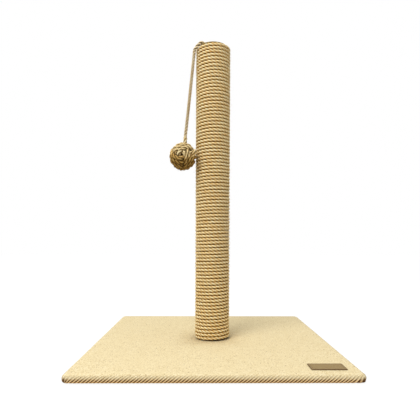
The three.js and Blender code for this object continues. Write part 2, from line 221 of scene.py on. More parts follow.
class Nodes:
    # a node tree, with the one call that adds nodes to it: settings first, then sockets
    def __init__(self, tree):
        self.tree = tree

    def node(self, kind, settings, inputs, output=0):
        made = self.tree.nodes.new(kind)
        for key, value in settings.items():
            if key == "stops":
                elements = made.color_ramp.elements
                while len(elements) < len(value):
                    elements.new(0.5)
                for element, (place, color) in zip(elements, value):
                    element.position, element.color = place, color
            else:
                setattr(made, key, value)
        for key, value in inputs.items():
            if isinstance(value, Wire):
                self.tree.links.new(value.socket, made.inputs[key])
            else:
                made.inputs[key].default_value = value
        if isinstance(output, tuple):
            return [Wire(self, made.outputs[key]) for key in output]
        return Wire(self, made.outputs[output])

    def show(self, wire, endNode):
        self.tree.links.new(wire.socket, self.tree.nodes[endNode].inputs["Surface"])

    def seenRays(self):
        # 1 for the camera's rays, for reflected ones and for those through glass
        rays = ("Is Camera Ray", "Is Glossy Ray", "Is Transmission Ray")
        camera, glossy, through = self.node("ShaderNodeLightPath", {}, {}, rays)
        return camera.maths("MAXIMUM", glossy).maths("MAXIMUM", through)


def shade(red, green, blue):
    # a colour as a screen shows it, 0 to 255, as the light that it stands for
    screen = np.array([red, green, blue]) / 255
    return (*np.where(screen > 0.04045, ((screen + 0.055) / 1.055) ** 2.4, screen / 12.92), 1)


class Finish(Nodes):
    # a material with one principled shader, and short calls for its nodes
    def __init__(self, name, roughness=0.9, specular=0.3, metallic=0.0):
        self.material = bpy.data.materials.new(name)
        self.material.use_nodes = True
        super().__init__(self.material.node_tree)
        self.shader = self.tree.nodes["Principled BSDF"]
        self.shader.inputs["Roughness"].default_value = roughness
        self.shader.inputs["Specular IOR Level"].default_value = specular
        self.shader.inputs["Metallic"].default_value = metallic

    def place(self, scale=(1, 1, 1), attribute=None, turn=0.0, moved=(0, 0, 0)):
        # a point's own place, or its place in an attribute: stretched, turned about z and moved
        if attribute:
            source = self.value(attribute, "Vector")
        else:
            source = self.node("ShaderNodeTexCoord", {}, {}, "Object")
        inputs = {"Vector": source, "Scale": scale, "Rotation": (0, 0, turn), "Location": moved}
        return self.node("ShaderNodeMapping", {}, inputs)

    def value(self, attribute, output="Fac"):
        return self.node("ShaderNodeAttribute", {"attribute_name": attribute}, {}, output)

    def noise(self, place, scale=1.0, detail=3.0, roughness=0.55):
        inputs = {"Vector": place, "Scale": scale, "Detail": detail, "Roughness": roughness}
        return self.node("ShaderNodeTexNoise", {}, inputs)

    def bands(self, place, way, profile, inputs):
        settings = {"wave_type": "BANDS", "bands_direction": way, "wave_profile": profile}
        return self.node("ShaderNodeTexWave", settings, {"Vector": place, **inputs}, "Fac")

    def ramp(self, fac, *stops):
        stops = [(place, shade(*color)) for place, color in stops]
        return self.node("ShaderNodeValToRGB", {"stops": stops}, {"Fac": fac})

    def span(self, value, low, high, to=(0.0, 1.0)):
        # the value from low to high as a number from one limit to the other
        inputs = {"Value": value, 1: low, 2: high, 3: to[0], 4: to[1]}
        return self.node("ShaderNodeMapRange", {"clamp": True}, inputs)

    def mix(self, factor, first, second, way="MIX"):
        settings = {"data_type": "RGBA", "blend_type": way}
        return self.node("ShaderNodeMix", settings, {0: factor, 6: first, 7: shade(*second)}, 2)

    def bump(self, height, depth, strength=1.0, before=None):
        inputs = {"Height": height, "Distance": depth, "Strength": strength}
        if before:
            inputs["Normal"] = before
        return self.node("ShaderNodeBump", {}, inputs, "Normal")

    def feed(self, **inputs):
        for key, wire in inputs.items():
            self.tree.links.new(wire.socket, self.shader.inputs[key.replace("_", " ").title()])
        return self.material


def ropeFinish(name, tones, seed):
    # laid sisal: fine fibres along the rope and yarns, with painted shade in the creases between strands
    # and on the sheltered sides
    made = Finish(name, roughness=0.9, specular=0.06)
    around, along = tones["fibresAcross"], tones["fibresAlong"]

    def stretched(lengthwise, crosswise):
        scale = (lengthwise, crosswise, crosswise)
        return made.place(scale, "ropePlace", moved=(seed * 3.1, seed * 1.7, 0))

    fine = made.noise(stretched(along, around), detail=2.0)
    yarn = made.noise(stretched(along * 0.6, around * 0.3), detail=3.0, roughness=0.6)
    cloud = made.noise(stretched(tones["cloudsAlong"], tones["cloudsAcross"]), detail=2.0)
    fibre = fine * 0.55 + yarn * 0.45
    color = made.ramp(
        fibre,
        (0.28, tones["dark"]),
        (0.38, tones["brown"]),
        (0.48, tones["golden"]),
        (0.60, tones["pale"]),
    )
    color = made.mix(made.span(cloud, 0.3, 0.7, (0.0, 0.4)), color, tones["tintAndPaintedLight"], "MULTIPLY")
    crease, sheltered = made.value("crease"), made.value("sheltered")
    # painted shade: a warm tint multiplied into sheltered places and creases
    color = made.mix(made.span(sheltered, 0.05, 0.6), color, tones["shadeTint"], "MULTIPLY")
    color = made.mix(made.span(crease, 0.1, 0.7, (0.0, 0.7)), color, tones["shadeTint"], "MULTIPLY")
    # painted shade: creases between strands and sheltered places are mixed towards the dark tone
    depth = made.span(crease, 0.1, tones["creaseFull"], (0.0, tones["creaseShade"]))
    hidden = made.span(sheltered, 0.35, 1.0, (0.0, tones["grooveShade"]))
    color = made.mix(depth, color, tones["dark"])
    color = made.mix(hidden, color, tones["dark"])
    rough = made.bump(fine, 0.0006, 0.9, made.bump(yarn, 0.0012, 0.7))
    return made.feed(base_color=color, normal=rough)


ropeTones = {
    "fibresAcross": 1500.0,  # a metre
    "fibresAlong": 70.0,
    "cloudsAlong": 24.0,
    "cloudsAcross": 60.0,
    "pale": (255, 254, 225),
    "golden": (255, 245, 202),
    "brown": (236, 200, 132),
    "dark": (84, 54, 8),
    "tintAndPaintedLight": (248, 220, 164),
    "shadeTint": (243, 205, 131),
    "creaseShade": 0.4,
    "creaseFull": 1.0,  # a crease this deep gets the fullest painted shade
    "grooveShade": 0.95,
}
stringTones = dict(
    ropeTones,
    pale=(255, 248, 222),
    golden=(246, 226, 184),
    brown=(196, 166, 118),
    dark=(56, 38, 14),
    shadeTint=(236, 214, 172),
    creaseShade=0.92,
    creaseFull=0.6,
)
ballTones = dict(
    ropeTones,
    pale=(255, 248, 208),
    golden=(236, 210, 154),
    brown=(166, 136, 82),
    dark=(52, 32, 4),
    shadeTint=(236, 212, 160),
    creaseShade=0.95,
)


# Laid rope

def strandOutline(angle, thick):
    # three round strands: how far out their outline lies at an angle, as a share of the rope's
    # radius; a strand is a circle of radius thick whose middle is 1 - thick out
    away = (angle + tau / 6) % (tau / 3) - tau / 6
    middle = 1 - thick
    return middle * np.cos(away) + np.sqrt(thick**2 - (middle * np.sin(away)) ** 2)


def steadyAcross(line, hint):
    # directions across the line near the hint, turned back by the sum of their own turning
    tangent = unit(np.gradient(line, axis=0))
    across = unit(hint - dot(hint, tangent) * tangent)
    carried = unit(across[:-1] - dot(across[:-1], tangent[1:]) * tangent[1:])
    sine = dot(np.cross(carried, across[1:]), tangent[1:])
    turn = np.arctan2(sine, dot(carried, across[1:]))[:, 0]
    spin = -np.concatenate([[0], np.cumsum(turn)])[:, None]
    beside = np.cross(tangent, across)
    return across * np.cos(spin) + beside * np.sin(spin)


def laidRope(name, line, across, rope, finish, startTwist=0.0, seed=1, sheltered=None):
    # a ring of points round each point of the line, whose corners turn with the strands: out
    # along across and beside it by the strands' outline, times the rope's radius
    beside = np.cross(unit(np.gradient(line, axis=0)), across)
    along = lengthsAlong(line)
    corner = np.arange(3 * rope["strandSides"]) * tau / (3 * rope["strandSides"])
    turn = corner + (startTwist + tau * along / rope["lay"])[:, None]
    apart = 0.011 * np.floor(corner / (tau / 3))  # so that the three strands differ
    uneven = 1 + rope["uneven"] * wobble(along[:, None] + apart, rope["waves"], seed)
    outline = strandOutline(corner, rope["strand"])
    radius = rope["radius"] * (outline[None, :] * uneven)
    out, side = np.cos(turn), np.sin(turn)
    rings = line[:, None] + across[:, None] * (radius * out)[..., None]
    rings = rings + beside[:, None] * (radius * side)[..., None]
    alongAndRound = along[:, None], rope["radius"] * out, rope["radius"] * side
    place = np.stack(np.broadcast_arrays(*alongAndRound), -1)
    crease = np.broadcast_to((1 - outline) / (1 - outline.min()), turn.shape)
    # the share of painted shade at each ring corner, from the given function
    shadeShare = sheltered(out) if sheltered else np.zeros(turn.shape)

    def withEnds(values, low, high):
        flatValues = values.reshape(-1, *values.shape[2:])
        return np.concatenate([flatValues, np.array([low, high])])

    attributes = {
        "ropePlace": withEnds(place, [along[0], 0, 0], [along[-1], 0, 0]),
        "crease": withEnds(crease, 0.2, 0.2),  # a cut end is a little dark
        "sheltered": withEnds(shadeShare, 0.2, 0.2),
    }
    triangles = closedGrid(len(line), len(corner))
    points = np.concatenate([rings.reshape(-1, 3), line[[0, -1]]])
    return meshPiece(name, points, triangles, finish, attributes)


# Hanging rope, in two pieces that meet between the two swing axes

post = {
    "radius": 0.046461,  # over the rope
    "windingLow": 0.0196,
    "windingTop": 0.796574,
}
string = {
    "radius": 0.0045,
    "lay": 0.0265,
    "strand": 0.51,  # a strand's thickness, as a share of the rope's
    "strandSides": 6,
    "uneven": 0.03,
    "waves": [0.013, 0.031, 0.047],
    "step": 0.0012,
    "angle": 200.0,  # degrees from +X
    "holeOut": -0.032461,  # from the winding's outside
    "holeUp": (-0.022, -0.010, 0.002),  # the rope's heights in its hole, from the winding's top
    "capUp": 0.0023,  # the cap's top, where the hole ends
    # out from the winding's outside, up from its top, and degrees round to the front
    "overRim": [
        (-0.030, 0.0067, 2.0), (-0.0262, 0.0072, 6.0), (-0.0195, 0.0071, 10.0),
        (-0.0125, 0.0069, 12.8), (-0.0086, 0.0065, 14.0), (-0.0050, 0.0047, 14.8),
        (-0.0020, 0.0018, 14.3), (0.0011, -0.0016, 12.0), (0.0038, -0.0055, 8.2),
        (0.0055, -0.0092, 3.8),
    ],
    "outwardSwing": (0.0068, -0.013, 0),
    "linkLength": 0.018,
    "pieces": 0.0092,  # below the outward swing's axis, where the two pieces meet
    "approach": 0.0055,  # before the knot's rope, where the rope has its direction
    "intoKnot": 0.001,
    "bends": 0.015,  # the length of rope centred on each axis
}
ball = {
    "radius": 0.0051,
    "lay": 0.033,
    "strand": 0.57,
    "strandSides": 6,
    "uneven": 0.035,
    "waves": [0.011, 0.027, 0.043],
    "looseStep": 0.003,  # between points while the knot is drawn tight
    "step": 0.0012,
    "middle": (-0.07895, -0.02874, 0.50007),
    "apart": 0.0103,  # between the middles of passes that touch
    "core": 0.0196,  # from the ball's middle to the deepest pass's middle
    "shell": 0.0305,  # to the outermost pass's middle
    "rounds": 80,
    "push": 0.35,  # of an overlap, each round
    "pushMost": 0.0008,
    "smoothing": 0.12,
    "swell": 0.012,  # outwards, each round
    "ends": 0.015,  # the length of each end that doesn't swell
    "tall": 1.045,  # its height over its width
    "tallFrom": (0.015, 0.045),  # along the rope, from none of it to all
    "pitch": 0.0095,
    "topNormal": (0.035, -0.65, 0.759),
    "leftNormal": (-0.819, -0.453, -0.35),
    "lit": (0.1, -0.5, 0.86),  # the way that the paler side faces; the painted shade grows away from it
    "litShare": (-0.1, 0.75),  # how squarely, from darkest to palest
    # the most painted shade on the sides and the underside
    "sideShade": 0.68,
    "deepShade": (0.018, 0.027),  # from the ball's middle, from the fullest painted shade to none
}


def bandPoints(axes, corners, count, faceFirst, lane, laneStep, shiftAt):
    # three passes of a band: each corner has three points, the long face's and the short face's
    # ends and the middle of the round between them; the lane moves over once a round
    reach = math.cos(math.pi / 4) / math.cos(math.pi / 8)
    steps = np.array([(3, 1), (2 + reach, 1 + reach), (2, 2)])
    points = []
    for at in range(count):
        corner = at % 4
        lane += laneStep if corner == shiftAt else 0
        order = steps if (at % 2 == 0) == faceFirst else steps[::-1]
        three = np.zeros((3, 3))
        three[:, axes[0]] = order[:, 0] * corners[corner][0]
        three[:, axes[1]] = order[:, 1] * corners[corner][1]
        three[:, axes[2]] = lane
        points.append(three)
    return np.vstack(points)


def knotPath():
    # the knot in units of the pitch about the ball's middle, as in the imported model
    return np.vstack([
        [(3.83, -2.6, -2.88), (3.33, -2.05, -2.1), (3.16, -1.52, -1.52), (3.08, -0.8, -1.09)],
        bandPoints((0, 1, 2), [(1, 1), (-1, 1), (-1, -1), (1, -1)], 10, True, -1, 1, 3),
        [(-3, -1, 1), (-2.95, -1.95, 1.12), (-2.4, -2.75, 1.35), (-1.6, -2.8, 1.75), (-1, -2.1, 2)],
        bandPoints((1, 2, 0), [(1, 1), (1, -1), (-1, -1), (-1, 1)], 9, False, -1, 1, 2),
        [(1, 3, -1), (1.05, 2.75, -1.8), (1.15, 2.2, -2.5), (1, 1.6, -2.95), (0.5, 1.12, -3.05)],
        bandPoints((2, 0, 1), [(-1, -1), (1, -1), (1, 1), (-1, 1)], 10, True, 1, -1, 3),
        [(0.9, -1.05, 3.02), (1.7, -1.5, 2.85), (2.3, -2.1, 2.3)],
    ])


def ballTurn():
    # the rows are the ball's own axes: through its top face, its left face and square to both
    top = unit(np.array(ball["topNormal"]))
    third = unit(np.cross(top, np.array(ball["leftNormal"])))
    return np.stack([top, np.cross(third, top), third])


knot = knotPath() * ball["pitch"] @ ballTurn() + np.array(ball["middle"])


def awayFromPost(turn):
    # level, at an angle from the way that the rope hangs
    return levelWay(math.radians(string["angle"] + turn))


outward, sideways = awayFromPost(0), awayFromPost(90)


def byRim(out, up, turn):
    return awayFromPost(turn) * (post["radius"] + out) + np.array([0, 0, post["windingTop"] + up])


swingAxis = byRim(*string["outwardSwing"])
ropeLine = knot[0] - swingAxis
ropeLine = unit(ropeLine - ropeLine @ sideways * sideways)
sideAxis = swingAxis + string["linkLength"] * ropeLine
meeting = swingAxis + string["pieces"] * ropeLine


def upperRoute():
    # up through the cap, over the rim and down to the meeting
    hole = [byRim(string["holeOut"], up, 0) for up in string["holeUp"]]
    rim = [byRim(*point) for point in string["overRim"]]
    return smoothPath(np.array([*hole, *rim, swingAxis, meeting]), string["step"])


def lowerRoute():
    # straight down from the meeting, easing over to where the knot's rope begins
    into = unit(knot[0] - knot[1])
    meets = knot[0] - string["intoKnot"] * into
    approach = knot[0] + string["approach"] * into
    along = approach - sideAxis
    straight = ropeLine * (along @ ropeLine)
    share = np.array([0, 0.2, 0.4, 0.6, 0.8, 0.93])[:, None]
    eased = sideAxis + straight * share + (along - straight) * share**3
    return smoothPath(np.vstack([meeting, eased, approach, meets]), string["step"])


def makeString():
    finish = ropeFinish("hangingRope", stringTones, 2)
    upper, lower = upperRoute(), lowerRoute()
    upperLength, lowerLength = lengthsAlong(upper)[-1], lengthsAlong(lower)[-1]
    tangent = unit(np.gradient(upper, axis=0))
    across = unit(sideways - dot(sideways, tangent) * tangent)
    top = laidRope("hangingRopeTop", upper, across, string, finish, seed=4)
    across = steadyAcross(lower, np.broadcast_to(sideways, lower.shape))
    twist = tau * upperLength / string["lay"]
    rest = laidRope("hangingRopeRest", lower, across, string, finish, startTwist=twist, seed=4)
    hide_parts("hanging_rope_start")
    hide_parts("hanging_rope_link", "hanging_rope")
    half = string["bends"] / 2 * ropeLine
    swingAxis - half
    swingAxis + half
    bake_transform(top)
    sideAxis - half
    sideAxis + half
    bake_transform(rest)
    hole = byRim(string["holeOut"], string["capUp"], 0)
    print("hanging rope:", round(upperLength, 4), "and", round(lowerLength, 4), "m")
    return top, rest, upper, lower, hole


hangTop, hangRest, upperLine, lowerLine, ropeHole = makeString()


# Ball: a monkey's fist

def settled(line, step):
    # the knot drawn tight: each round, points of different passes that are too near push each
    # other apart, each point moves towards its neighbours, all but the knot's two ends swell
    # outwards up to the shell, and none goes into the core
    skip = math.ceil(1.6 * ball["apart"] / step)
    head, tail = line[:3].copy(), line[-1].copy()
    free = slice(round(ball["ends"] / step), -round(ball["ends"] / step))
    for turn in range(ball["rounds"]):
        difference = line[:, None] - line[None]
        far = np.linalg.norm(difference, axis=-1)
        order = np.arange(len(line))
        near = (far < ball["apart"]) & (np.abs(order[:, None] - order) > skip)
        push = np.where(near, ball["apart"] / np.maximum(far, 1e-6) - 1, 0)
        move = ball["push"] * (difference * push[..., None]).sum(1)
        size = np.linalg.norm(move, axis=1, keepdims=True)
        line = line + move * np.minimum(1, ball["pushMost"] / np.maximum(size, 1e-9))
        line[1:-1] += ball["smoothing"] * ((line[:-2] + line[2:]) / 2 - line[1:-1])
        far = np.linalg.norm(line, axis=1, keepdims=True)
        line *= np.maximum(1, ball["core"] / far)
        line[free] *= np.minimum(1 + ball["swell"], ball["shell"] / far[free])
        line[:3], line[-1] = head, tail
        if turn % 10 == 9:
            line = evenly(line, step)
    return line


def makeBall():
    # the knot's line is drawn tight, smoothed, and stretched upwards beyond its hanging end
    finish = ropeFinish("ballRope", ballTones, 5)
    middle, looseStep = np.array(ball["middle"]), ball["looseStep"]
    line = smoothPath(settled(smoothPath(knot - middle, looseStep), looseStep), ball["step"])
    fromEnd = np.arange(len(line)) * ball["step"]
    line[:, 2] *= 1 + (ball["tall"] - 1) * ease(fromEnd, *ball["tallFrom"])
    line = line + middle
    across = steadyAcross(line, line - middle + 0.02 * sideways)

    def sheltered(out):
        # painted shade: deeper passes are darker, by a ring's distance from the ball's middle, and so
        # are the sides and the underside, by how little a ring faces the light
        away = line - middle
        deepShade = 1 - ease(np.linalg.norm(away, axis=1), *ball["deepShade"])
        turned = ball["sideShade"] * (1 - ease(unit(away) @ ball["lit"], *ball["litShare"]))
        return np.broadcast_to(np.maximum(deepShade, turned)[:, None], out.shape)

    knotted = laidRope("ballKnot", line, across, ball, finish, seed=9, sheltered=sheltered)
    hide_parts("toy_ball")
    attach(knotted, "rope_and_ball")
    print("ball:", round(lengthsAlong(line)[-1], 3), "m of rope")
    return line


knotLine = makeBall()


# Winding: one rope, a turn beside a turn from the base to the cap

winding = {
    "radius": 0.00452,
    "lay": 0.0303,
    "strand": 0.58,
    "strandSides": 4,
    "uneven": 0.03,
    "waves": [0.017, 0.039, 0.073],
    "turns": 86 + 6 / 11,
    "startAngle": 180.0,
    "middle": 0.04205,
    "spread": 0.0012,  # of the lowest turns
    "spreadHeight": 0.04,
    "upSway": 0.00022,
    "upWaves": [1.9, 2.7, 5.1],  # lengths, as angles round the post
    "outSway": 0.00028,
    "outWaves": [2.3, 3.9, 7.7],
    "rings": 8290,
}


def makeWinding():
    # a rising helix: its radius and height sway a little, and its section is nearly round
    part = np.linspace(0, 1, winding["rings"])
    turn = math.radians(winding["startAngle"]) + tau * winding["turns"] * part
    low = post["windingLow"] + winding["radius"]
    high = post["windingTop"] - winding["radius"]
    held = ease(part, 0, 0.01) * (1 - ease(part, 0.99, 1))  # the two ends don't sway
    sway = winding["upSway"] * held * wobble(turn, winding["upWaves"], 3)
    height = low + (high - low) * part + sway
    lowest = 1 - ease(height, low, low + winding["spreadHeight"])
    middle = winding["middle"] + winding["outSway"] * wobble(turn, winding["outWaves"], 7)
    middle = middle + winding["spread"] * lowest * ease(part, 0, 0.004)
    out = levelWay(turn)
    line = out * middle[:, None]
    line[:, 2] = height

    def sheltered(outShare):
        # painted shade: 1 where a turn lies against the next or the tube, 0 on its outside
        return 1 - ease(outShare, 0.05, 0.93)

    finish = ropeFinish("postRope", ropeTones, 1)
    rope = laidRope("woundRope", line, out, winding, finish, seed=6, sheltered=sheltered)
    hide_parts("post_rope")
    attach(rope, "stand")
    print("winding:", len(rope.data.polygons), "triangles")


makeWinding()


# Cap: cloth glued over a disc, round the rope's hole

cap = {
    "radius": 0.0385,
    "low": 0.796874,
    "thickness": 0.002,
    "edge": 0.0009,
    "hole": 0.0049,
    "holeOffset": 0.014,
    "steps": 96,
    "sway": 0.00012,  # of its face, up and down
    "waves": [0.011, 0.017, 0.029],
}


def capFinish():
    made = Finish("capCloth", roughness=0.93, specular=0.2)
    place = made.place()
    cloud = made.noise(place, 90, 3)
    thread = made.noise(made.place((1400, 500, 500)), 1, 2)
    weft = made.noise(made.place((500, 1400, 500)), 1, 2)
    weave = thread * 0.5 + weft * 0.5
    tones = (0.35, (134, 112, 60)), (0.5, (180, 156, 98)), (0.65, (208, 188, 128))
    color = made.ramp(weave, *tones)
    color = made.mix(made.span(cloud, 0.35, 0.65, (0.0, 0.4)), color, (146, 128, 80))
    return made.feed(base_color=color, normal=made.bump(weave, 0.0005, 0.8))


def makeCap():
    # rings from the rope's hole to the disc's rim, over its edge and back underneath: a row's
    # share of the way out, and its height
    low, radius, edge = cap["low"], cap["radius"], cap["edge"]
    top = low + cap["thickness"]
    rows = [(0.0, low), (0.0, top - edge), (0.012, top - 0.3 * edge), (0.03, top)]
    rows += [(share, top) for share in np.linspace(0.1, 0.94, 14)]
    for tilt in np.radians([15, 45, 75, 90]):
        rows.append((1 - edge * (1 - math.sin(tilt)) / radius, top - edge + edge * math.cos(tilt)))
    rows += [(1.0, low + 0.0006), (0.985, low), (0.5, low)]
    share, height = np.array(rows).T[..., None]
    circle = onCircle(np.linspace(0, tau, cap["steps"], endpoint=False))
    hole = outward[:2] * cap["holeOffset"] + cap["hole"] * circle
    ring = hole + share[..., None] * (radius * circle - hole)
    sway = cap["sway"] * wobble(ring[..., 0] + 0.7 * ring[..., 1], cap["waves"], 12)
    height = height + sway * (height > low + 0.001)  # the underside stays flat
    points = np.concatenate([ring, height[..., None]], -1).reshape(-1, 3)
    piece = meshPiece("capCloth", points, wrapRows(len(rows), cap["steps"]), capFinish())
    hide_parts("top_cap")
    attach(piece, "stand")


makeCap()
print("cap made")


# Base cover: twill of flat yarn, wrapped round the board

cover = {
    "half": 0.300,
    "corner": 0.014,
    "low": 0.0024,
    "top": 0.0193,
    "roll": 0.009,  # radius of the upper edge
    "lowRoll": 0.005,
    "returns": 0.042,  # turned in under the board
    "thickness": 0.0018,
    "ridge": 0.0076,  # between the ridges, along the edge
    "ridgeHeight": 0.0014,
    "slant": 1.35,  # along the edge for each step up the side
    "leanAbout": 0.0120,  # the height up the side where a ridge is in its own place
    "columnsPerRidge": 7,
    "upright": 0.020,  # from a corner's middle, where the ridges begin to stand upright
    "uneven": 0.25,  # of the ridges' height
    "unevenWaves": [0.019, 0.041, 0.083],
    "pucker": 0.0004,  # of the sides, in and out
    "puckerWaves": [0.061, 0.11, 0.23],
    "tintAndPaintedLight": (0.0135, 0.009),  # the height where the lower band's painted light and painted shadow begin, and how far down they grow
    # painted shade at the corners: the height where it begins and how far down it grows, then its reach
    # from a corner
    "cornerShade": (0.014, 0.005),
    "cornerReach": (0.003, 0.013),
    "hole": 0.0046,
}


def coverFinish():
    made = Finish("coverCloth", roughness=0.92, specular=0.2)
    ridges, edge, low, corner = (made.value(key) for key in ("ridge", "edge", "low", "corner"))
    # slanting ridges on the flat top, from the cloth's own places
    uneven = {"Scale": 68.0, "Distortion": 0.6, "Detail": 1.0, "Detail Scale": 3.0}
    slant = made.bands(made.place(attribute="cloth", turn=0.915), "X", "SIN", uneven)
    stitch = made.noise(made.place((900, 260, 1), "cloth", math.pi / 4), 1, 2)
    place = made.place()
    grain, mottle = made.noise(place, 900, 2), made.noise(place, 300, 2)
    patch, cloud = made.noise(place, 60, 3), made.noise(place, 14, 4)
    fleck = made.noise(made.place((420, 150, 300)), 1, 1)
    tone = stitch * 0.25 + grain * 0.2 + mottle * 0.45 + patch * 0.1
    darker = (0.37, (190, 166, 116)), (0.44, (222, 203, 157))
    color = made.ramp(tone, *darker, (0.54, (236, 219, 176)), (0.63, (246, 234, 200)))
    color = made.mix(made.span(cloud, 0.35, 0.65, (0.0, 0.22)), color, (230, 211, 164))
    color = made.mix(made.span(fleck, 0.69, 0.74, (0.0, 0.75)), color, (128, 90, 46))
    # painted light: the lower band, which faces down, is mixed towards a brighter, warmer tone
    color = made.mix(low * 0.85, color, (255, 206, 130))
    # painted shadow in the hollows between the ridges, strongest low down
    hollowShadow = made.span((1 - ridges) * edge, 0.1, 0.8) * made.span(low, 0.0, 0.6, (0.3, 1.0))
    color = made.mix(hollowShadow, color, (82, 34, 0))
    # painted shade on the corners' lower tips
    color = made.mix(corner * 0.85, color, (84, 50, 14))
    flat = made.bump(slant, 0.0007, 0.35)
    rough = made.bump(stitch, 0.0006, 0.6, flat)
    return made.feed(base_color=color, normal=made.bump(grain, 0.0003, 0.5, rough))


def roundedSquare(e, inset):
    # a point of a square with round corners, from its share e of the way round the outermost
    # one, starting at the front left; inset makes it smaller, and its corners sharper
    straight = 2 * (cover["half"] - cover["corner"])
    arc = cover["corner"] * tau / 4
    quarter = np.floor(e * 4)
    part = (e * 4 - quarter) * (straight + arc)
    half = cover["half"] - inset
    corner = np.maximum(cover["corner"] - inset, 0.0015)
    flat = part < straight
    run = (2 * part / straight - 1) * (half - corner)
    tilt = np.clip((part - straight) / arc, 0, 1) * tau / 4
    x = np.where(flat, run, half - corner + corner * np.sin(tilt))
    y = np.where(flat, -half, -(half - corner) - corner * np.cos(tilt))
    turn = quarter * tau / 4
    return np.stack([x * np.cos(turn) - y * np.sin(turn), x * np.sin(turn) + y * np.cos(turn)], -1)


def coverProfile():
    # rows from the hole on top out over the edge to the return below, then back inside the
    # cloth: inset, height, and how much of the ridges' height a row has
    low, top, roll, lowRoll = (cover[key] for key in ("low", "top", "roll", "lowRoll"))
    rows = [(inset, top, 0.0) for inset in (0.20, 0.10, 0.05, 0.03, 0.02, 0.013)]
    for tilt in np.radians(range(8, 81, 12)):
        ridges = float(ease(tilt, 0.1, 1.25))
        rows.append((roll * (1 - math.sin(tilt)), top - roll * (1 - math.cos(tilt)), ridges))
    rows += [(0.0, height, 1.0) for height in np.linspace(top - roll, low + lowRoll, 3)]
    for tilt in np.radians(range(18, 91, 18)):
        inset, height = lowRoll * (1 - math.cos(tilt)), low + lowRoll * (1 - math.sin(tilt))
        rows.append((inset, height, math.cos(tilt)))
    rows += [(0.012, low, 0.0), (cover["returns"], low, 0.0)]
    thick = cover["thickness"]
    rows += [(cover["returns"], low + thick, 0.0), (0.007, low + thick, 0.0), (0.003, low + 0.0055, 0.0)]
    rows += [(0.003, top - roll, 0.0), (0.0055, top - 0.005, 0.0), (0.0105, top - thick, 0.0)]
    rows += [(0.10, top - thick, 0.0)]
    return np.array(rows)


def twillLean(e, side):
    # the length from a corner's middle, and how far a ridge leans along the edge: one way on the
    # front and back and the other on the left and right, times the length from the corner
    toCorner = (4 * e + cover["corner"] * tau / 8 / side) % 4  # whole at the corners' middles
    fromCorner = np.minimum(toCorner % 1, 1 - toCorner % 1) * side
    way = np.where(np.floor(toCorner) % 2 == 0, 1, -1)
    return fromCorner, way * np.clip(fromCorner / cover["upright"], 0, 1) * cover["slant"]


def coverSkin(e, side, lean, wave):
    # the profile carried round the square: a point moves along the edge by its lean times its
    # climb up the profile, and out of the profile by the ridges' wave
    inset, height, share = coverProfile().T
    along = lengthsAlong(np.stack([inset, height], 1))
    lowest = np.argmin(np.abs(inset - cover["lowRoll"]) + np.abs(height - cover["low"]))
    outside = np.arange(len(inset)) <= lowest
    climb = np.where(outside, np.clip(along[lowest] - along, 0, 2 * cover["leanAbout"]), 0)
    shifted = (e + lean * (climb - cover["leanAbout"])[:, None] / (4 * side)) % 1
    points = roundedSquare(shifted, inset[:, None])
    outwards = (roundedSquare(shifted, inset[:, None] - 0.001) - points) / 0.001
    level = cover["ridgeHeight"] * share[:, None] * (wave - 0.35)
    level = level * (1 + cover["uneven"] * wobble(e * 4 * side, cover["unevenWaves"], 21))
    # the ridges rise outwards on the side and upwards on top
    tangent = unit(np.stack([np.gradient(inset), np.gradient(height)], 1))
    upShare, outShare = (-tangent * outside[:, None]).T[..., None]
    flat = points + outwards * (level * outShare)[..., None]
    pucker = cover["pucker"] * wobble(e * 4 * side, cover["puckerWaves"], 22)
    flat += outwards * (pucker * ease(share, 0.3, 1)[:, None])[..., None]
    place = np.concatenate([flat, (height[:, None] + level * upShare)[..., None]], -1)
    # one more row at each end is a ring round the bolt's hole
    hole = cover["hole"] * onCircle(np.arctan2(points[0, :, 1], points[0, :, 0]))
    first = np.concatenate([hole, np.full((len(e), 1), cover["top"])], 1)
    last = first - np.array([0, 0, cover["thickness"]])
    edge = np.concatenate([[0], share * outside, [0]])[:, None]
    outwards = np.concatenate([outwards[:1], outwards, outwards[-1:]])
    return np.concatenate([first[None], place, last[None]]), outwards, edge


def below(height, start, reach):
    # 0 above the start, 1 at the reach below it and under that
    return np.clip((start - height) / reach, 0, 1)


def makeCover():
    side = 2 * (cover["half"] - cover["corner"]) + cover["corner"] * tau / 4
    columns = 4 * round(side / cover["ridge"]) * cover["columnsPerRidge"]
    e = np.arange(columns) / columns
    wave = 0.5 - 0.5 * np.cos(tau * np.arange(columns) / cover["columnsPerRidge"])
    fromCorner, lean = twillLean(e, side)
    place, outwards, edge = coverSkin(e, side, lean, wave)
    height = place[..., 2]
    nearCorner = 1 - ease(fromCorner, *cover["cornerReach"])
    shares = {
        "ridge": wave,
        "edge": edge,
        # the lower band's share of painted light and painted shadow
        "low": below(height, *cover["tintAndPaintedLight"]),
        # the corners' lower tips, for painted shade
        "corner": nearCorner * below(height, *cover["cornerShade"]) * (edge > 0.5),
    }
    # places in the cloth's own plane: the sides are folded out flat
    dropped = below(height, cover["top"], 1)[..., None]
    cloth = np.concatenate([place[..., :2] + outwards * dropped, 0 * dropped], -1)
    attributes = {key: np.broadcast_to(value, height.shape).ravel() for key, value in shares.items()}
    attributes["cloth"] = cloth.reshape(-1, 3)
    triangles = wrapRows(len(place), columns)
    piece = meshPiece("coverCloth", place.reshape(-1, 3), triangles[:, ::-1], coverFinish(), attributes)
    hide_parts("base_cover")
    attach(piece, "stand")
    print("cover:", len(triangles), "triangles")


makeCover()


# Loose fibres that stand out of the ropes

fibres = {
    "thick": 0.00009,
    "steps": 4,
    "onPost": 2600,
    "onBall": 420,
    "postLongest": 0.011,
    "ballLongest": 0.009,
    "turnHeight": 0.00888,  # of the winding
    "ballOutside": 0.026,  # from the ball's middle; a pass nearer to it bears none
}


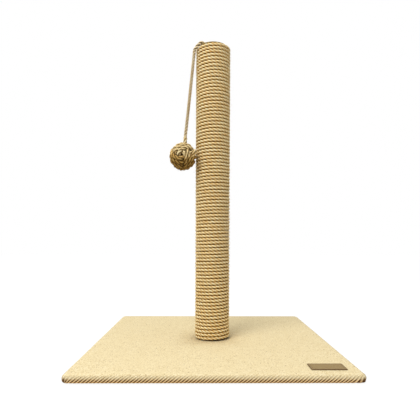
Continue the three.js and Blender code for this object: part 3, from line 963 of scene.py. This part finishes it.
def looseFibres(name, roots, away, along, longest, finish, slotName, body, seed):
    # each fibre leaves the rope, bends and ends in a point: root + away * t + along * t^2
    chance = np.random.default_rng(seed)
    count = len(roots)
    length = longest * chance.uniform(0.35, 1, (count, 1))
    lift = away * chance.uniform(0.25, 0.8, (count, 1)) + along * chance.normal(0, 0.5, (count, 1))
    bend = along * chance.normal(0, 0.7, (count, 1)) - away * chance.uniform(0, 0.35, (count, 1))
    beside = unit(np.cross(along, away))
    bend = bend + beside * chance.normal(0, 0.4, (count, 1))
    t = np.linspace(0, 1, fibres["steps"] + 1)[None, :, None]
    line = roots[:, None] + length[:, None] * (unit(lift)[:, None] * t + 0.6 * bend[:, None] * t**2)
    cosine, sine = onCircle(np.arange(3) * tau / 3).T[..., None]
    ring = cosine * beside[:, None, None] + sine * unit(away)[:, None, None]
    thick = fibres["thick"] * (1 - 0.75 * t)[..., None]
    points = (line[:, :, None] + ring * thick).reshape(-1, 3)
    # a three-sided tube, closed by a triangle at each end
    last = 3 * fibres["steps"]
    ends = [[2, 1, 0], [last, last + 1, last + 2]]
    one = np.concatenate([gridTriangles(fibres["steps"] + 1, 3), ends])
    triangles = (one + np.arange(count)[:, None, None] * (last + 3)).reshape(-1, 3)
    piece = meshPiece(name, points, triangles, finish)
    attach(piece, body)
    return piece


def fibreFinish():
    made = Finish("fibre", roughness=0.8, specular=0.3)
    tone = made.noise(made.place(), 160, 2)
    color = made.ramp(tone, (0.35, (190, 150, 90)), (0.6, (246, 222, 172)))
    return made.feed(base_color=color)


def postRoots(chance):
    # on the outside of the turn nearest to a random place; a turn rises by its height a round
    low, turnHeight = post["windingLow"], fibres["turnHeight"]
    turn = chance.uniform(0, tau, fibres["onPost"])
    height = chance.uniform(low + 0.004, post["windingTop"] - 0.004, fibres["onPost"])
    level = np.round((height - low) / turnHeight - 0.5 - turn / tau)
    height = low + (level + 0.5 + turn / tau) * turnHeight
    height = np.clip(height + chance.uniform(-0.002, 0.002, fibres["onPost"]), 0.022, 0.794)
    out = levelWay(turn)
    roots = out * (post["radius"] - 0.0008)
    roots[:, 2] = height
    return roots, out, levelWay(turn + tau / 4)


def ballRoots(chance):
    # on the outer passes of the knot, on the side away from the ball's middle
    middle = np.array(ball["middle"])
    picked = chance.integers(60, len(knotLine) - 60, fibres["onBall"])
    roots = knotLine[picked]
    along = unit(knotLine[picked + 1] - knotLine[picked - 1])
    away = unit(roots - middle)
    away = unit(away - dot(away, along) * along)
    outer = np.linalg.norm(roots - middle, axis=1) > fibres["ballOutside"]
    return (roots + away * 0.004)[outer], away[outer], along[outer]


def makeFibres():
    finish, chance = fibreFinish(), np.random.default_rng(31)
    onPost = *postRoots(chance), fibres["postLongest"], finish
    looseFibres("postFibres", *onPost, "post_rope", "stand", 32)
    onBall = *ballRoots(chance), fibres["ballLongest"], finish
    looseFibres("ballFibres", *onBall, "ball_rope", "rope_and_ball", 33)


makeFibres()
print("loose fibres made")


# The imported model's own pieces: boards, cloth, steel and card

def woodFinish(name, pale, dark, scale, depth):
    made = Finish(name, roughness=0.75, specular=0.3)
    grain = made.noise(made.place(scale), 1, 4, 0.6)
    fine = made.noise(made.place(tuple(6 * s for s in scale)), 1, 2)
    color = made.ramp(grain * 0.7 + fine * 0.3, (0.35, dark), (0.65, pale))
    return made.feed(base_color=color, normal=made.bump(grain, depth, 0.5))


def steelFinish():
    made = Finish("zincSteel", metallic=1.0, roughness=0.35)
    cloud = made.noise(made.place(), 400, 3)
    color = made.ramp(cloud, (0.35, (150, 152, 156)), (0.65, (206, 207, 210)))
    return made.feed(base_color=color, roughness=made.span(cloud, 0.3, 0.7, (0.28, 0.5)))


def feltFinish(name, pale, dark):
    made = Finish(name, roughness=0.97, specular=0.1)
    fuzz = made.noise(made.place(), 1600, 3, 0.7)
    color = made.ramp(fuzz, (0.35, dark), (0.65, pale))
    return made.feed(base_color=color, normal=made.bump(fuzz, 0.0004, 0.8))


tag = {"lineInset": 0.0045}


def tagFinish():
    # khaki leather with a pressed line inside its darker edge, and painted shade towards its bottom
    made = Finish("tagLeather", roughness=0.62, specular=0.35)
    low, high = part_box("name_tag")
    middle = [(a + b) / 2 for a, b in zip(low, high)]
    half = [(b - a) / 2 for a, b in zip(low, high)]
    x, y, z = made.node("ShaderNodeSeparateXYZ", {}, {"Vector": made.place()}, ("X", "Y", "Z"))
    toEnd = half[0] - (x - middle[0]).maths("ABSOLUTE")
    toSide = half[1] - (y - middle[1]).maths("ABSOLUTE")
    near = toEnd.maths("MINIMUM", toSide)  # the distance to the nearest edge
    edge = made.span(near, 0.0006, 0.0030, (1.0, 0.0))
    line = made.span((near - tag["lineInset"]).maths("ABSOLUTE"), 0.0003, 0.0008, (1.0, 0.0))
    pores = made.noise(made.place(), 1500, 3, 0.6)
    cloud = made.noise(made.place(), 120, 3)
    color = made.ramp(pores, (0.3, (122, 98, 54)), (0.7, (164, 140, 90)))
    color = made.mix(made.span(cloud, 0.35, 0.65, (0.0, 0.4)), color, (138, 110, 62))
    color = made.mix(edge * 0.75, color, (92, 66, 34))
    color = made.mix(line * 0.5, color, (110, 84, 48))
    # painted shade, darker towards the tag's bottom
    color = made.mix(made.span(z - low[2], 0.0, 0.0012, (0.9, 0.0)), color, (74, 50, 24))
    dent = made.bump(1 - line, 0.0004, 0.6)
    return made.feed(base_color=color, normal=made.bump(pores, 0.0002, 0.5, dent))


def cardFinish():
    # strips of paper wound on a slant, with a dark line where one meets the next
    made = Finish("woundCard", roughness=0.85, specular=0.2)
    strip = made.bands(made.place(), "Z", "SAW", {"Scale": 6.0, "Distortion": 0.5})
    fleck = made.noise(made.place(), 500, 3)
    color = made.ramp(fleck, (0.35, (96, 70, 42)), (0.65, (138, 106, 70)))
    color = made.mix(made.span(strip, 0.95, 1.0, (0.0, 0.6)), color, (60, 42, 24))
    return made.feed(base_color=color, normal=made.bump(fleck, 0.0003, 0.4))


pad = {"steps": 64, "uneven": 0.012, "waves": [0.004, 0.007]}
lining = {"hole": 0.017, "columns": 400, "rings": 12}


def softDisc(name, node, finish):
    # a felt disc: a flat middle, a bulging edge and an uneven outline; a row's share of the
    # radius and of the thickness
    low, high = (np.array(v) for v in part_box(node))
    middle, radius = (low + high)[:2] / 2, (high - low)[0] / 2
    angle = np.linspace(0, tau, pad["steps"], endpoint=False)
    rows = [(0.25, 0.0), (0.6, 0.0), (0.85, 0.0), (0.95, 0.06), (0.99, 0.3), (1.0, 0.6), (0.98, 0.9)]
    rows += [(0.93, 1.0), (0.6, 1.0), (0.25, 1.0)]
    share, up = np.array(rows).T
    uneven = 1 - pad["uneven"] * (0.5 + 0.5 * wobble(angle * radius, pad["waves"], 41))
    ring = share[:, None] * radius * uneven
    height = np.broadcast_to(low[2] + (high - low)[2] * up[:, None, None], (*ring.shape, 1))
    points = np.concatenate([middle + ring[..., None] * onCircle(angle), height], -1)
    points = np.vstack([points.reshape(-1, 3), [*middle, low[2]], [*middle, high[2]]])
    piece = meshPiece(name, points, closedGrid(len(rows), pad["steps"]), finish)
    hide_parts(node)
    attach(piece, "stand")


def makePads():
    finish = feltFinish("padFelt", (62, 56, 52), (30, 27, 25))
    for side in ("front_left", "front_right", "back_left", "back_right"):
        softDisc("feltPad" + side.title().replace("_", ""), "foot_pad_" + side, finish)


def makeLining():
    # a thin square of cloth with a round hole at its middle: out from the hole below, back above
    low, high = (np.array(v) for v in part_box("base_lining"))
    half, columns, rings = high[0], lining["columns"], lining["rings"]
    outer = roundedSquare(np.arange(columns) / columns, cover["half"] - half)
    inner = lining["hole"] * onCircle(np.arctan2(outer[:, 1], outer[:, 0]))
    share = np.concatenate([np.linspace(0, 1, rings), np.linspace(1, 0, rings)])
    flat = inner + share[:, None, None] * (outer - inner)
    height = np.repeat([low[2], high[2]], rings)[:, None] * np.ones(columns)
    points = np.concatenate([flat, height[..., None]], -1).reshape(-1, 3)
    finish = feltFinish("lining", (58, 54, 53), (26, 24, 24))
    triangles = wrapRows(2 * rings, columns)[:, ::-1]
    piece = meshPiece("liningCloth", points, triangles, finish, smooth=False)
    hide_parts("base_lining")
    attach(piece, "stand")


def dressNodes():
    board = (196, 158, 110), (150, 112, 70), (300, 300, 300)
    wood = (222, 190, 138), (180, 140, 88), (140, 140, 12)
    bead = (120, 84, 44), (64, 42, 18), (500, 500, 500)
    timber, steel = woodFinish("timber", *wood, 0.0002), steelFinish()
    finishes = {
        "base_board": woodFinish("fibreboard", *board, 0.0002),
        "post_tube": cardFinish(),
        "bottom_plug": timber,
        "top_plug": timber,
        "ball_core": woodFinish("ballCore", *bead, 0.0004),
        "name_tag": tagFinish(),
    }
    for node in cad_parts:
        if node.startswith(("plug_screw", "base_bolt", "bolt_washer", "threaded")):
            finishes[node] = steel
    for node, finish in finishes.items():
        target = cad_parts[node]
        target.data.materials.clear()
        target.data.materials.append(finish)


makePads()
makeLining()
dressNodes()
print("underside and hidden pieces dressed")


# Floor, background and light

studio = {
    "fill": 0.62,
    "keyLamp": ((-0.9, -1.3, 2.3), 1.2, 41.0),  # place, size and power
    "topLamp": ((0.4, 0.0, 2.6), 1.6, 9.0),
    "aim": (0, 0, 0.35),
    "floorWhite": 0.78,  # how much of the floor's look is plain white in the picture
    "floorGlow": 1.18,
    "floorShade": 0.6,
    "floorHalf": 6.0,
}


def makeFloor():
    # a mix of plain white and of paper, which keeps the object's shadow
    made = Finish("floorPaper", roughness=1.0, specular=0.0)
    made.shader.inputs["Base Color"].default_value = (*[studio["floorShade"]] * 3, 1)
    paper = Wire(made, made.shader.outputs[0])
    white = made.node("ShaderNodeEmission", {}, {"Strength": studio["floorGlow"]})
    share = made.seenRays() * studio["floorWhite"]
    mixed = made.node("ShaderNodeMixShader", {}, {0: share, 1: paper, 2: white})
    made.show(mixed, "Material Output")
    corners = np.array([(-1, -1, 0), (1, -1, 0), (1, 1, 0), (-1, 1, 0)]) * studio["floorHalf"]
    triangles = np.array([[0, 1, 2], [0, 2, 3]])
    floor = meshPiece("floor", corners, triangles, made.material, smooth=False)


def makeWorld():
    # white where it is seen, and a softer light for all else
    world = bpy.data.worlds.new("studio")
    world.use_nodes = True
    bpy.context.scene.world = world
    made = Nodes(world.node_tree)
    white = (1, 1, 1, 1)
    fill = world.node_tree.nodes["Background"]
    fill.inputs["Color"].default_value = white
    fill.inputs["Strength"].default_value = studio["fill"]
    plain = made.node("ShaderNodeBackground", {}, {"Color": white})
    shaders = {0: made.seenRays(), 1: Wire(made, fill.outputs[0]), 2: plain}
    made.show(made.node("ShaderNodeMixShader", {}, shaders), "World Output")


def makeLamp(name):
    # a square soft lamp that looks at the post
    place, size, power = studio[name]
    lamp = bpy.data.lights.new(name, "AREA")
    lamp.size, lamp.energy = size, power
    made = inScene(name, lamp)
    made.location = place
    x, y, z = np.array(studio["aim"]) - place
    made.rotation_euler = (math.atan2(math.hypot(x, y), -z), 0, math.atan2(y, x) - tau / 4)


makeFloor()
makeWorld()
makeLamp("keyLamp")
makeLamp("topLamp")
bpy.context.scene.view_settings.view_transform = "Standard"
print("studio lit")
